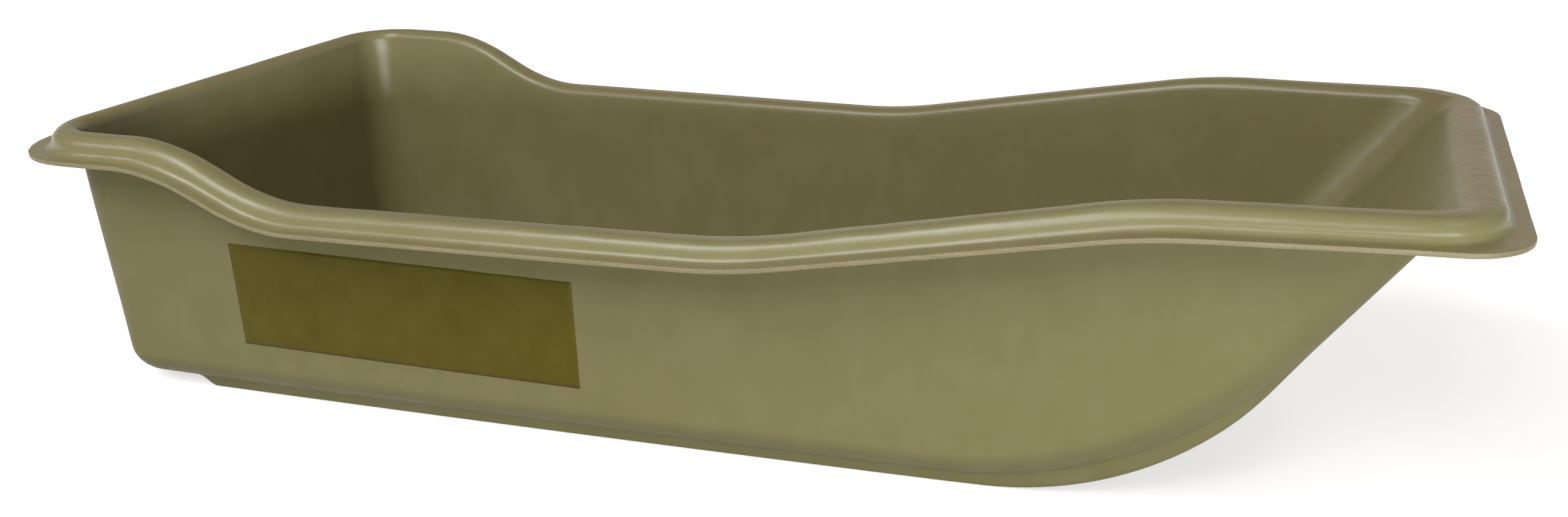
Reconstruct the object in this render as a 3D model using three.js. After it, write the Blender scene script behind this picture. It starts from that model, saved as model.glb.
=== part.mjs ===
// Ice fishing sled: one thermoformed polyethylene tub with a hollow bead and a flange round its rim
// and two runners pressed into its bottom, and the printed label on one side.
// Millimetres and degrees. +X is the bow, -Y the labelled side, +Z up.
// The origin is on the ground, under the middle of the sled's length.

import * as THREE from 'three';

const degree = Math.PI / 180;

// Hull, over the trimmed edge of the rim. The widths are taken at the height of the stern rim.
const hullLength = 1450;
const sternWidth = 659;
const middleWidth = 596;
const bowWidth = 500;
const sheet = 4.5;

// Height of the rim's top above the ground at the corners of its side line, from stern to bow
const sternRimHeight = 295;
const waistSternHeight = 236;
const waistBowHeight = 240;
const shoulderHeight = 306;
const bowRimHeight = 310;
const rimCornerShares = [0, 0.1365, 0.2135, 0.553, 0.8, 1];
const rimBendLength = 90;

// Rim section: a bead standing over a flat flange. The bead is narrower at the bow's end, and the flange
// is wider at the stern's. The bead's outer edge and the fillet at its foot are shares of its height.
const beadWidth = 41;
const bowBeadWidth = 38;
const flangeWidth = 10;
const sternFlangeWidth = 14;
const sternBeadHeight = 21.5;
const waistBeadHeight = 18;
const shoulderBeadHeight = 21;
const bowBeadHeight = 18.5;
const outerEdgeShare = 0.78;
const flangeFilletShare = 0.29;
const innerEdgeRadius = 12;
const bowEdgeRadius = 26;
const skirtDraft = 5 * degree;

// Corners of the rim seen from above
const sternBeadCorner = 90;
const bowBeadCorner = 70;
const sternFlangeCorner = 96;
const bowFlangeCorner = 54;

// Walls and bottom, radii on the inside of the tub
const sideDraft = 3 * degree;
const sternDraft = 2.6 * degree;
const cornerRadius = 45;
const bottomRadius = 25;
const creaseRadius = 38;
const bowSlope = 53 * degree;

// Rockers: the radii by which the tub's bottom and the runners' soles turn up into the bow slope
const tubRockerRadius = 390;
const runnerRockerRadius = 310;

// Runners, sizes on the underside; the inset is from the foot of the side wall
const runnerDepth = 12;
const runnerInset = 1;
const runnerWidth = 60;
const runnerSideRun = 3.5;
const runnerEdgeRun = 3;
const runnerEdgeShare = 0.75;
const runnerStart = 154;
const runnerRamp = 14;

// Label
const labelLength = 387;
const labelHeight = 113.5;
const labelThickness = 0.5;
const labelGap = 0.3;
const labelFromStern = 435.5;
const labelCentreHeight = 124;
const labelTilt = -0.8 * degree;

// Mesh: how finely each stretch is divided
const cornerSteps = 3;
const bendSteps = 4;
const rockerSteps = 9;
const slopeSteps = 4;
const edgeSteps = 2;
const filletSteps = 4;
const wallRingShares = [1 / 3, 2 / 3];
const footShare = 0.44;
const cornerColumns = 3;
const stationGapShare = 0.2;
const bisections = 48;
const labelSteps = [12, 3];

const rimWidth = beadWidth + flangeWidth;
const halfLength = hullLength / 2;
const sternInnerLength = halfLength - rimWidth;
const bowInnerLength = halfLength - bowBeadWidth - flangeWidth;
const floorHeight = runnerDepth + sheet;

function clamp(value, low, high) {
  return Math.min(Math.max(value, low), high);
}

// Half the width over the rim at a place along the sled: a parabola through the three widths
function rimHalfWidth(x) {
  const share = x / halfLength;
  const taper = (bowWidth - sternWidth) / 4;
  const bulge = (bowWidth + sternWidth) / 4 - middleWidth / 2;
  return middleWidth / 2 + taper * share + bulge * share * share;
}

// Heights along the sled at the corners of the rim's side line: the rim's top above the ground, and the
// bead's top above the flange
const rimHeights = [
  sternRimHeight, sternRimHeight, waistSternHeight, waistBowHeight, shoulderHeight, bowRimHeight,
];
const beadHeights = [
  sternBeadHeight, sternBeadHeight, waistBeadHeight, waistBeadHeight, shoulderBeadHeight, bowBeadHeight,
];
const rimCornerPlaces = rimCornerShares.map((share) => -halfLength + share * hullLength);

// Straight stretches between those heights, whose corners are rounded by parabolas
function sideLine(x, heights) {
  const slopes = heights.slice(1).map((height, index) =>
    (height - heights[index]) / (rimCornerPlaces[index + 1] - rimCornerPlaces[index]));
  let height = heights[0] + slopes[0] * (x - rimCornerPlaces[0]);
  for (let index = 1; index < slopes.length; index += 1) {
    const turn = slopes[index] - slopes[index - 1];
    const past = x - rimCornerPlaces[index];
    const reach = clamp(past + rimBendLength / 2, 0, rimBendLength);
    height += turn * reach * reach / (2 * rimBendLength) + turn * Math.max(past - rimBendLength / 2, 0);
  }
  return height;
}

function rimHeight(x) {
  return sideLine(x, rimHeights);
}

// A keel line: flat at its level, a rocker of the given radius, then the straight bow slope, whose line
// meets the level at footX
function keelLine(x, level, radius, footX) {
  const startX = footX - radius * Math.tan(bowSlope / 2);
  const arcRun = clamp(x - startX, 0, radius * Math.sin(bowSlope));
  const slopeRun = Math.max(x - startX - radius * Math.sin(bowSlope), 0);
  const arcRise = radius - Math.sqrt(radius * radius - arcRun * arcRun);
  return level + arcRise + slopeRun * Math.tan(bowSlope);
}

// The keel line of the tub's inner face
const innerRocker = tubRockerRadius - sheet;
const slopeFootX = bowInnerLength - (rimHeight(bowInnerLength) - floorHeight) / Math.tan(bowSlope);
const rockerStartX = slopeFootX - innerRocker * Math.tan(bowSlope / 2);
const rockerEndX = rockerStartX + innerRocker * Math.sin(bowSlope);

// The keel line of the face that lies a distance outside the inner face: one sheet on the underside
function keelHeight(x, distance = 0) {
  const footX = slopeFootX + distance * Math.tan(bowSlope / 2);
  return keelLine(x, floorHeight - distance, innerRocker + distance, footX);
}

// Where the underside of the bow slope would meet the ground, and the ends of the soles' rocker
const soleFootX = slopeFootX + sheet / Math.sin(bowSlope) - floorHeight / Math.tan(bowSlope);
const soleStartX = soleFootX - runnerRockerRadius * Math.tan(bowSlope / 2);
const soleEndX = soleStartX + runnerRockerRadius * Math.sin(bowSlope);

function keelTurn(x, z) {
  return clamp(Math.atan2(x - rockerStartX, floorHeight + innerRocker - z), 0, bowSlope);
}

function keelDistance(x, z) {
  const turn = keelTurn(x, z);
  if (turn === 0) return floorHeight - z;
  if (turn === bowSlope) {
    return (x - slopeFootX) * Math.sin(bowSlope) - (z - floorHeight) * Math.cos(bowSlope);
  }
  return Math.hypot(x - rockerStartX, floorHeight + innerRocker - z) - innerRocker;
}

function roundedMax(a, b, radius) {
  if (a > -radius && b > -radius) return Math.hypot(a + radius, b + radius) - radius;
  return Math.max(a, b);
}

// Distance from a point to the tub's inner face, positive outside it. The sheet's outer face is the
// surface where this distance is one sheet thickness, so the wall is equally thick everywhere.
function tubDistance(point) {
  const above = point.z - sternRimHeight;
  const sideAt = rimHalfWidth(point.x) - rimWidth + above * Math.tan(sideDraft);
  const side = (Math.abs(point.y) - sideAt) * Math.cos(sideDraft);
  const stern = (-point.x - sternInnerLength - above * Math.tan(sternDraft)) * Math.cos(sternDraft);
  const walls = roundedMax(side, stern, cornerRadius);
  const turn = keelTurn(point.x, point.z) / bowSlope;
  const radius = bottomRadius + (creaseRadius - bottomRadius) * turn;
  return roundedMax(walls, keelDistance(point.x, point.z), radius);
}

// Distance from a point to the rim's outline seen from above, drawn in by the insets
function outlineDistance(point, inset, sternInset, sternCorner, bowCorner) {
  const above = rimHeight(point.x) - sternRimHeight;
  const side = Math.abs(point.y) - rimHalfWidth(point.x) - above * Math.tan(sideDraft) + inset;
  const end = Math.abs(point.x) - halfLength + (point.x < 0 ? sternInset : inset);
  return roundedMax(side, end, point.x < 0 ? sternCorner : bowCorner);
}

function beadDistance(point) {
  return outlineDistance(point, flangeWidth, sternFlangeWidth, sternBeadCorner, bowBeadCorner);
}

function flangeDistance(point) {
  return outlineDistance(point, 0, 0, sternFlangeCorner, bowFlangeCorner);
}

// Where a ray that starts inside a surface reaches a given distance from it
function castRay(origin, direction, distance, measure = tubDistance) {
  let near = 0;
  let far = hullLength;
  const point = new THREE.Vector3();
  for (let step = 0; step < bisections; step += 1) {
    const middle = (near + far) / 2;
    point.copy(origin).addScaledVector(direction, middle);
    if (measure(point) < distance) near = middle;
    else far = middle;
  }
  return point.copy(origin).addScaledVector(direction, (near + far) / 2);
}

function tubNormal(point) {
  const step = sheet / 100;
  const slope = (axis) => {
    const ahead = point.clone();
    const behind = point.clone();
    ahead[axis] += step;
    behind[axis] -= step;
    return tubDistance(ahead) - tubDistance(behind);
  };
  return new THREE.Vector3(slope('x'), slope('y'), slope('z')).normalize();
}

// Foot of the walls: the line where the wall rings end and the floor's grid begins
const bowFootDrop = innerEdgeRadius + 1.5 * bottomRadius;
const bowFootX = bowInnerLength - bowFootDrop / Math.tan(bowSlope);
const sternWallRun = (sternRimHeight - floorHeight) * Math.tan(sternDraft);
const sternFootX = -sternInnerLength + sternWallRun + footShare * bottomRadius;
const cornerRun = cornerRadius - footShare * bottomRadius;
const runnerStartX = -halfLength + runnerStart;
const runnerEndX = rockerStartX + tubRockerRadius * Math.sin(bowSlope);

function footHalfWidth(x) {
  const height = keelHeight(x);
  const wall = rimHalfWidth(x) - rimWidth + (height - sternRimHeight) * Math.tan(sideDraft);
  const turn = keelTurn(x, height) / bowSlope;
  return wall - footShare * (bottomRadius + (creaseRadius - bottomRadius) * turn);
}

// Places along the sled where the mesh has a row: the ends of each feature first, then its inside
function sideStations() {
  const wanted = [sternFootX, bowFootX, runnerStartX, runnerStartX + runnerRamp, runnerEndX];
  wanted.push(rockerStartX, rockerEndX, soleStartX, soleEndX);
  const spread = (from, to, steps) => {
    for (let step = 0; step <= steps; step += 1) wanted.push(from + (to - from) * step / steps);
  };
  spread(sternFootX, sternFootX + cornerRun, cornerSteps);
  spread(bowFootX, bowFootX - cornerRun, cornerSteps);
  for (const corner of rimCornerPlaces.slice(1, -1)) {
    spread(corner - rimBendLength / 2, corner + rimBendLength / 2, bendSteps);
  }
  spread(rockerStartX, rockerEndX, rockerSteps);
  spread(rockerEndX, bowFootX, slopeSteps);
  spread(rimCornerPlaces[2], rimCornerPlaces[3], bendSteps);
  const gap = stationGapShare * cornerRadius;
  const kept = [];
  for (const x of wanted) {
    const inside = x >= sternFootX && x <= bowFootX;
    if (inside && kept.every((other) => Math.abs(other - x) >= gap)) kept.push(x);
  }
  return kept.sort((a, b) => a - b);
}

// Columns across the floor, from one foot line to the other. Each runner's edges have columns of their
// own: inset is measured from the foot line, depth is the share of the runner's depth, and lean is the
// side to which the inner face's edge steps so that the sheet keeps its thickness.
const runnerColumns = [
  { inset: 0, depth: 0, lean: 1 },
  { inset: runnerSideRun, depth: runnerEdgeShare, lean: 1 },
  { inset: runnerSideRun + runnerEdgeRun, depth: 1, lean: 1 },
  { inset: runnerSideRun + runnerWidth / 2, depth: 1, lean: 0 },
  { inset: runnerSideRun + runnerWidth - runnerEdgeRun, depth: 1, lean: -1 },
  { inset: runnerSideRun + runnerWidth, depth: runnerEdgeShare, lean: -1 },
  { inset: 2 * runnerSideRun + runnerWidth, depth: 0, lean: -1 },
];
const middleShares = [0.5, 0];
const sideAngle = Math.atan2(runnerDepth * runnerEdgeShare, runnerSideRun);
const sheetStep = sheet * Math.tan(sideAngle / 2);

// The columns follow the runner's edges along the runners and spread evenly toward both ends
function halfColumns(x, inner) {
  const halfWidth = footHalfWidth(x);
  const fromStern = (x - sternFootX) / (runnerStartX - sternFootX);
  const fromBow = (bowFootX - x) / (bowFootX - runnerEndX);
  const gathered = clamp(Math.min(fromStern, fromBow), 0, 1);
  const columns = [{ y: halfWidth, depth: 0 }];
  runnerColumns.forEach(({ inset, depth, lean }, index) => {
    const step = inner ? lean * sheetStep : 0;
    const even = (index + 1) * cornerRun / cornerColumns;
    const edge = runnerInset + inset + step;
    columns.push({ y: halfWidth - even - (edge - even) * gathered, depth });
  });
  const last = columns[columns.length - 1].y;
  for (const share of middleShares) columns.push({ y: last * share, depth: 0 });
  return columns;
}

function floorColumns(x, inner) {
  const half = halfColumns(x, inner);
  const mirrored = half.slice(0, -1).reverse().map(({ y, depth }) => ({ y: -y, depth }));
  return [...half, ...mirrored];
}

// A node of the floor's grid. Near the corners the grid's outline bends round an arc, and the wall that
// starts there faces away from the arc's centre.
function floorNode(x, y) {
  const bend = (run, other) => run * Math.sqrt(1 - other * other / (2 * cornerRun * cornerRun));
  const alongRun = clamp(cornerRun - Math.min(x - sternFootX, bowFootX - x), 0, cornerRun);
  const acrossRun = clamp(cornerRun - footHalfWidth(x) + Math.abs(y), 0, cornerRun);
  const along = bend(alongRun, acrossRun);
  const across = bend(acrossRun, alongRun);
  return {
    x: x + Math.sign(x) * (along - alongRun),
    y: y + Math.sign(y) * (across - acrossRun),
    facing: new THREE.Vector3(Math.sign(x) * along, Math.sign(y) * across, 0).normalize(),
  };
}

// How deep the runners stand below the tub's bottom at a place along the sled. They start at a short
// ramp, and their tighter rocker brings them level with the tub on the bow slope.
function runnerReach(x) {
  const ramp = clamp((x - runnerStartX) / runnerRamp, 0, 1);
  const sole = keelLine(x, 0, runnerRockerRadius, soleFootX);
  return ramp * (keelHeight(x, sheet) - sole);
}

const down = new THREE.Vector3(0, 0, -1);

function castFloor(x, y, distance) {
  return castRay(new THREE.Vector3(x, y, rimHeight(x)), down, distance);
}

// A point of the floor's grid. The sole is level across, so a column that starts on the rounding at the
// foot of the wall goes down by what it stands above the keel line as well.
function floorPoint(x, column, distance) {
  const node = floorNode(x, column.y);
  const point = castFloor(node.x, node.y, distance);
  const reach = runnerReach(x);
  const above = (point.z - keelHeight(node.x, distance)) * Math.min(reach / runnerDepth, 1);
  return point.addScaledVector(down, column.depth * (reach + above));
}

// The closed loop of stations round the tub: foot point and the plan direction that its wall faces
function wallStations(rows) {
  const lastRow = rows.length - 1;
  const columnCount = floorColumns(rows[0], true).length;
  const stations = [];
  const add = (row, column) => {
    const { y } = floorColumns(rows[row], true)[column];
    stations.push({ row, column, ...floorNode(rows[row], y) });
  };
  for (let row = 0; row < lastRow; row += 1) add(row, 0);
  for (let column = 0; column < columnCount - 1; column += 1) add(lastRow, column);
  for (let row = lastRow; row > 0; row -= 1) add(row, columnCount - 1);
  for (let column = columnCount - 1; column > 0; column -= 1) add(0, column);
  return stations;
}

// The rounding between the bead's top and the wall. It widens from the upright sides to the sloping bow.
function edgeRadius(wallLean) {
  const share = clamp((wallLean - sideDraft) / (Math.PI / 2 - bowSlope - sideDraft), 0, 1);
  return innerEdgeRadius + (bowEdgeRadius - innerEdgeRadius) * share * share * (3 - 2 * share);
}

// The rim's section at one station, from the trimmed edge to the top of the wall, as distances outward
// and upward from the point where the wall would meet the bead's top. wallLean is the wall's angle from
// upright, and depth is how far inside the sheet the face lies: zero above and one sheet below. The
// reaches are the distances out to the bead's foot and to the trimmed edge.
function rimSection(wallLean, depth, beadReach, edgeReach, beadHeight) {
  const skirtOut = [Math.cos(skirtDraft), Math.sin(skirtDraft)];
  const outerRadius = outerEdgeShare * beadHeight;
  const filletRadius = flangeFilletShare * beadHeight;
  const innerRadius = edgeRadius(wallLean);
  const skirtTopZ = -outerRadius * (1 - skirtOut[1]);
  const skirtTopD = beadReach - (beadHeight + skirtTopZ) * Math.tan(skirtDraft);
  const outerCentre = [skirtTopD - outerRadius * skirtOut[0], -outerRadius];
  const filletZ = -beadHeight + filletRadius;
  const skirtRun = (skirtTopZ - filletZ + filletRadius * skirtOut[1]) / Math.cos(skirtDraft);
  const filletD = skirtTopD + skirtRun * Math.sin(skirtDraft) + filletRadius * skirtOut[0];
  const innerCentre = [innerRadius * (1 - Math.sin(wallLean)) / Math.cos(wallLean), -innerRadius];
  const filletReach = filletRadius + depth;
  const points = [
    [edgeReach, -beadHeight - depth],
    [filletD, -beadHeight - depth],
    [filletD - filletReach * skirtOut[0], filletZ - filletReach * skirtOut[1]],
  ];
  const addArc = (centre, radius, from, to) => {
    for (let step = 0; step <= edgeSteps; step += 1) {
      const angle = from + (to - from) * step / edgeSteps;
      points.push([centre[0] + radius * Math.cos(angle), centre[1] + radius * Math.sin(angle)]);
    }
  };
  addArc(outerCentre, outerRadius - depth, skirtDraft, Math.PI / 2);
  addArc(innerCentre, innerRadius - depth, Math.PI / 2, Math.PI - wallLean);
  return points;
}

// The point where a station's wall meets the height of the rim's top
function rimCorner(station) {
  const origin = new THREE.Vector3(station.x, station.y, rimHeight(station.x));
  let corner = castRay(origin, station.facing, 0);
  for (let pass = 0; pass < cornerSteps; pass += 1) {
    origin.z = rimHeight(corner.x);
    corner = castRay(origin, station.facing, 0);
  }
  return corner;
}

// One station's line of points, from the trimmed edge over the bead and down the wall to the foot
function stationLine(station, distance) {
  const corner = rimCorner(station);
  const normal = tubNormal(corner);
  const wallLean = Math.asin(-normal.z);
  const outward = normal.setZ(0).normalize();
  const beadReach = castRay(corner, outward, 0, beadDistance).distanceTo(corner);
  const edgeReach = castRay(corner, outward, 0, flangeDistance).distanceTo(corner);
  const beadHeight = sideLine(corner.x, beadHeights);
  const line = rimSection(wallLean, distance, beadReach, edgeReach, beadHeight).map(([out, up]) =>
    corner.clone().addScaledVector(outward, out).setZ(corner.z + up));
  const foot = castFloor(station.x, station.y, 0);
  const wallTop = corner.z - edgeRadius(wallLean) * (1 - Math.sin(wallLean));
  const room = (wallTop - foot.z) * (1 - wallRingShares[0]);
  const turn = keelTurn(station.x, keelHeight(station.x));
  const crease = bottomRadius + (creaseRadius / Math.cos(bowSlope) - bottomRadius) * turn / bowSlope;
  const fanHeight = foot.z + Math.min(crease, room);
  for (const share of wallRingShares) {
    const height = wallTop + (fanHeight - wallTop) * share;
    line.push(castRay(new THREE.Vector3(station.x, station.y, height), station.facing, distance));
  }
  const centre = new THREE.Vector3(station.x, station.y, fanHeight);
  for (let step = 0; step < filletSteps; step += 1) {
    const angle = Math.PI / 2 * step / filletSteps;
    const ray = station.facing.clone().multiplyScalar(Math.cos(angle)).addScaledVector(down, Math.sin(angle));
    line.push(castRay(centre, ray, distance));
  }
  return line;
}

// One face of the sheet, inner or outer: rings of wall points round a grid of floor points
function sheetFace(rows, stations, distance) {
  const points = [];
  const triangles = [];
  const lines = stations.map((station) => {
    const first = points.length;
    points.push(...stationLine(station, distance));
    return Array.from({ length: points.length - first }, (_, index) => first + index);
  });
  const grid = rows.map((x) => floorColumns(x, distance === 0).map((column) => {
    points.push(floorPoint(x, column, distance));
    return points.length - 1;
  }));
  stations.forEach(({ row, column }, index) => lines[index].push(grid[row][column]));
  const addQuad = (a, b, c, d) => {
    if (points[a].distanceTo(points[c]) <= points[b].distanceTo(points[d])) {
      triangles.push([a, b, c], [a, c, d]);
    } else {
      triangles.push([a, b, d], [b, c, d]);
    }
  };
  lines.forEach((line, index) => {
    const next = lines[(index + 1) % lines.length];
    for (let ring = 0; ring + 1 < line.length; ring += 1) {
      addQuad(line[ring], line[ring + 1], next[ring + 1], next[ring]);
    }
  });
  for (let row = 0; row + 1 < grid.length; row += 1) {
    for (let column = 0; column + 1 < grid[row].length; column += 1) {
      addQuad(grid[row][column], grid[row][column + 1], grid[row + 1][column + 1], grid[row + 1][column]);
    }
  }
  return { points, triangles, edge: lines.map((line) => line[0]) };
}

function closedGeometry(points, triangles) {
  const geometry = new THREE.BufferGeometry();
  geometry.setAttribute('position', new THREE.Float32BufferAttribute(points.flatMap((p) => p.toArray()), 3));
  geometry.setIndex(triangles.flat());
  geometry.computeVertexNormals();
  return geometry;
}

function hullGeometry() {
  const rows = sideStations();
  const stations = wallStations(rows);
  const inner = sheetFace(rows, stations, 0);
  const outer = sheetFace(rows, stations, sheet);
  const shift = inner.points.length;
  const triangles = [...inner.triangles];
  for (const [a, b, c] of outer.triangles) triangles.push([a + shift, c + shift, b + shift]);
  inner.edge.forEach((above, index) => {
    const following = (index + 1) % inner.edge.length;
    const below = outer.edge[index] + shift;
    const nextBelow = outer.edge[following] + shift;
    triangles.push([above, inner.edge[following], nextBelow], [above, nextBelow, below]);
  });
  return closedGeometry([...inner.points, ...outer.points], triangles);
}

// The label: a thin film that follows the outer face of the wall
function labelGeometry() {
  const [along, up] = labelSteps;
  const points = [];
  const triangles = [];
  const index = (layer, i, j) => (layer * (along + 1) + i) * (up + 1) + j;
  const outward = new THREE.Vector3(0, -1, 0);
  for (const layer of [0, 1]) {
    for (let i = 0; i <= along; i += 1) {
      for (let j = 0; j <= up; j += 1) {
        const across = (i / along - 1 / 2) * labelLength;
        const rise = (j / up - 1 / 2) * labelHeight;
        const x = -halfLength + labelFromStern + across * Math.cos(labelTilt) - rise * Math.sin(labelTilt);
        const z = labelCentreHeight + across * Math.sin(labelTilt) + rise * Math.cos(labelTilt);
        const distance = sheet + labelGap + layer * labelThickness;
        points.push(castRay(new THREE.Vector3(x, 0, z), outward, distance));
      }
    }
  }
  const addQuad = (a, b, c, d) => triangles.push([a, b, c], [a, c, d]);
  for (let i = 0; i < along; i += 1) {
    for (let j = 0; j < up; j += 1) {
      addQuad(index(1, i, j), index(1, i + 1, j), index(1, i + 1, j + 1), index(1, i, j + 1));
      addQuad(index(0, i, j), index(0, i, j + 1), index(0, i + 1, j + 1), index(0, i + 1, j));
    }
    addQuad(index(0, i, 0), index(0, i + 1, 0), index(1, i + 1, 0), index(1, i, 0));
    addQuad(index(1, i, up), index(1, i + 1, up), index(0, i + 1, up), index(0, i, up));
  }
  for (let j = 0; j < up; j += 1) {
    addQuad(index(1, 0, j), index(1, 0, j + 1), index(0, 0, j + 1), index(0, 0, j));
    addQuad(index(0, along, j), index(0, along, j + 1), index(1, along, j + 1), index(1, along, j));
  }
  return closedGeometry(points, triangles);
}

const olive = new THREE.MeshStandardMaterial({ color: 0x8d8863, roughness: 0.5, metalness: 0 });
const darkOlive = new THREE.MeshStandardMaterial({ color: 0x5c5226, roughness: 0.45, metalness: 0 });

const hull = new THREE.Mesh(hullGeometry(), olive);
hull.name = 'hull';
const sideLabel = new THREE.Mesh(labelGeometry(), darkOlive);
sideLabel.name = 'side_label';

const sled = new THREE.Group();
sled.add(hull, sideLabel);

export default sled;
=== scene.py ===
# Ice fishing sled: the looks of the moulded tub and of its label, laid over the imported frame.
# Metres. +X is the bow, -Y the labelled side, +Z up. The origin is on the ground, under the middle.

import math

import bpy
import numpy as np
from mathutils import Matrix, Vector


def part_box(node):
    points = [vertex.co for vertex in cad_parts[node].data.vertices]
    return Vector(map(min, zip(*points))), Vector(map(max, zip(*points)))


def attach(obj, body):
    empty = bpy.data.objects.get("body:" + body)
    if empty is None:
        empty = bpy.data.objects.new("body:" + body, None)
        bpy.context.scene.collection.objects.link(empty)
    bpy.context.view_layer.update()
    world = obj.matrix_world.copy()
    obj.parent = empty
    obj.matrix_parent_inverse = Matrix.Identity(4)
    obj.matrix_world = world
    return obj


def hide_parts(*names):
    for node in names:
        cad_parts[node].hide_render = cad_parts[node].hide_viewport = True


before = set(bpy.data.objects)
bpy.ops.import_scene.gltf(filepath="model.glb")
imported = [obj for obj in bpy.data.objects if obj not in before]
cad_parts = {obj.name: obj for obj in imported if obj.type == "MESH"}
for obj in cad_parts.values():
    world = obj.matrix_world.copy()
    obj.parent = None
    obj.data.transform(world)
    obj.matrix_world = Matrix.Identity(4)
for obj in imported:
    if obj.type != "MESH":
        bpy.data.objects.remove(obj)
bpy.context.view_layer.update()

# ---------------------------------------------------------------- sizes shared with the frame

HALF_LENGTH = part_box("hull")[1].x
STERN_WIDTH = 0.659
MIDDLE_WIDTH = 0.596
BOW_WIDTH = 0.500
SHEET = 0.0045

RIM_SHARES = (0.0, 0.1365, 0.2135, 0.553, 0.8, 1.0)
RIM_HEIGHTS = (0.2950, 0.2950, 0.2360, 0.2400, 0.3060, 0.3100)
BEAD_HEIGHTS = (0.0215, 0.0215, 0.0180, 0.0180, 0.0210, 0.0185)
RIM_BEND = 0.090

BEAD_WIDTH = 0.041
BOW_BEAD_WIDTH = 0.038
BEAD_DOME = 4.0
FLANGE_WIDTH = 0.010
STERN_FLANGE_WIDTH = 0.014
STERN_BEAD_CORNER = 0.090
BOW_BEAD_CORNER = 0.070
STERN_FLANGE_CORNER = 0.096
BOW_FLANGE_CORNER = 0.054
INNER_EDGE_RADIUS = 0.012
BOW_EDGE_RADIUS = 0.026
OUTER_EDGE_SHARE = 0.75
FILLET_SHARE = 0.44
FOOT_SHARE_IN = 0.34
TRIM_ROUND = 0.0006
SKIRT_DRAFT = math.radians(10)

SIDE_DRAFT = math.radians(3)
STERN_DRAFT = math.radians(2.6)
CORNER_RADIUS = 0.045
BOTTOM_RADIUS = 0.025
CREASE_RADIUS = 0.038
BOW_SLOPE = math.radians(53)
TUB_ROCKER = 0.390
RUNNER_ROCKER = 0.310

RUNNER_DEPTH = 0.012
RUNNER_INSET = 0.001
RUNNER_WIDTH = 0.060
RUNNER_SIDE_RUN = 0.0035
RUNNER_EDGE_SHARE = 0.75
RUNNER_START = 0.154
RUNNER_RAMP = 0.014
RUNNER_TOP_ROUND = 0.003
RUNNER_SOLE_ROUND = 0.0065
RAMP_EASE = 0.004

LABEL_LENGTH = 0.387
LABEL_HEIGHT = 0.1135
LABEL_FROM_STERN = 0.4355
LABEL_CENTRE_HEIGHT = 0.124
LABEL_TILT = math.radians(-0.8)
LABEL_NEAR = 0.0001
LABEL_FAR = 0.00045

# How far inside the wall, as shares of the bottom radius, the runner's outer edge stands, as in the
# frame, and the wall's rings end: a little further out, so that the runner's rounding has room
EDGE_SHARE = 0.44
FOOT_SHARE = 0.30

RIM_WIDTH = BEAD_WIDTH + FLANGE_WIDTH
STERN_INNER_LENGTH = HALF_LENGTH - RIM_WIDTH
BOW_INNER_LENGTH = HALF_LENGTH - BOW_BEAD_WIDTH - FLANGE_WIDTH
FLOOR_HEIGHT = RUNNER_DEPTH + SHEET
STERN_RIM_HEIGHT = RIM_HEIGHTS[0]


# ---------------------------------------------------------------- the hull's surfaces
# The same formulas as the frame's, for whole arrays of points at once.

def rim_half_width(x):
    share = x / HALF_LENGTH
    taper = (BOW_WIDTH - STERN_WIDTH) / 4
    bulge = (BOW_WIDTH + STERN_WIDTH) / 4 - MIDDLE_WIDTH / 2
    return MIDDLE_WIDTH / 2 + taper * share + bulge * share ** 2


def side_line(x, heights):
    """Straight stretches between the rim's corners along the sled, rounded there by parabolas."""
    corner_x = [-HALF_LENGTH + share * 2 * HALF_LENGTH for share in RIM_SHARES]
    runs = list(zip(corner_x, heights))
    slopes = [(z2 - z1) / (x2 - x1) for (x1, z1), (x2, z2) in zip(runs, runs[1:])]
    height = heights[0] + slopes[0] * (x - corner_x[0])
    for corner, before, after in zip(corner_x[1:], slopes, slopes[1:]):
        past = x - corner
        reach = np.clip(past + RIM_BEND / 2, 0, RIM_BEND)
        bent = reach ** 2 / (2 * RIM_BEND) + np.maximum(past - RIM_BEND / 2, 0)
        height = height + (after - before) * bent
    return height


def rim_height(x):
    return side_line(x, RIM_HEIGHTS)


def keel_line(x, level, radius, foot_x):
    """Flat at its level, a rocker, then the straight bow slope, whose line starts at foot_x."""
    start_x = foot_x - radius * math.tan(BOW_SLOPE / 2)
    arc_run = np.clip(x - start_x, 0, radius * math.sin(BOW_SLOPE))
    slope_run = np.maximum(x - start_x - radius * math.sin(BOW_SLOPE), 0)
    return level + radius - np.sqrt(radius ** 2 - arc_run ** 2) + slope_run * math.tan(BOW_SLOPE)


INNER_ROCKER = TUB_ROCKER - SHEET
SLOPE_RISE = rim_height(BOW_INNER_LENGTH) - FLOOR_HEIGHT
SLOPE_FOOT_X = BOW_INNER_LENGTH - SLOPE_RISE / math.tan(BOW_SLOPE)
ROCKER_START_X = SLOPE_FOOT_X - INNER_ROCKER * math.tan(BOW_SLOPE / 2)
SOLE_FOOT_X = SLOPE_FOOT_X + SHEET / math.sin(BOW_SLOPE) - FLOOR_HEIGHT / math.tan(BOW_SLOPE)


def keel_height(x, distance=0.0):
    foot_x = SLOPE_FOOT_X + distance * math.tan(BOW_SLOPE / 2)
    return keel_line(x, FLOOR_HEIGHT - distance, INNER_ROCKER + distance, foot_x)


def keel_turn(x, z):
    turn = np.arctan2(x - ROCKER_START_X, FLOOR_HEIGHT + INNER_ROCKER - z)
    return np.clip(turn, 0, BOW_SLOPE)


def keel_distance(x, z):
    turn = keel_turn(x, z)
    past, above = x - SLOPE_FOOT_X, z - FLOOR_HEIGHT
    from_slope = past * math.sin(BOW_SLOPE) - above * math.cos(BOW_SLOPE)
    from_rocker = np.hypot(x - ROCKER_START_X, FLOOR_HEIGHT + INNER_ROCKER - z) - INNER_ROCKER
    bent = np.where(turn >= BOW_SLOPE, from_slope, from_rocker)
    return np.where(turn <= 0, FLOOR_HEIGHT - z, bent)


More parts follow.
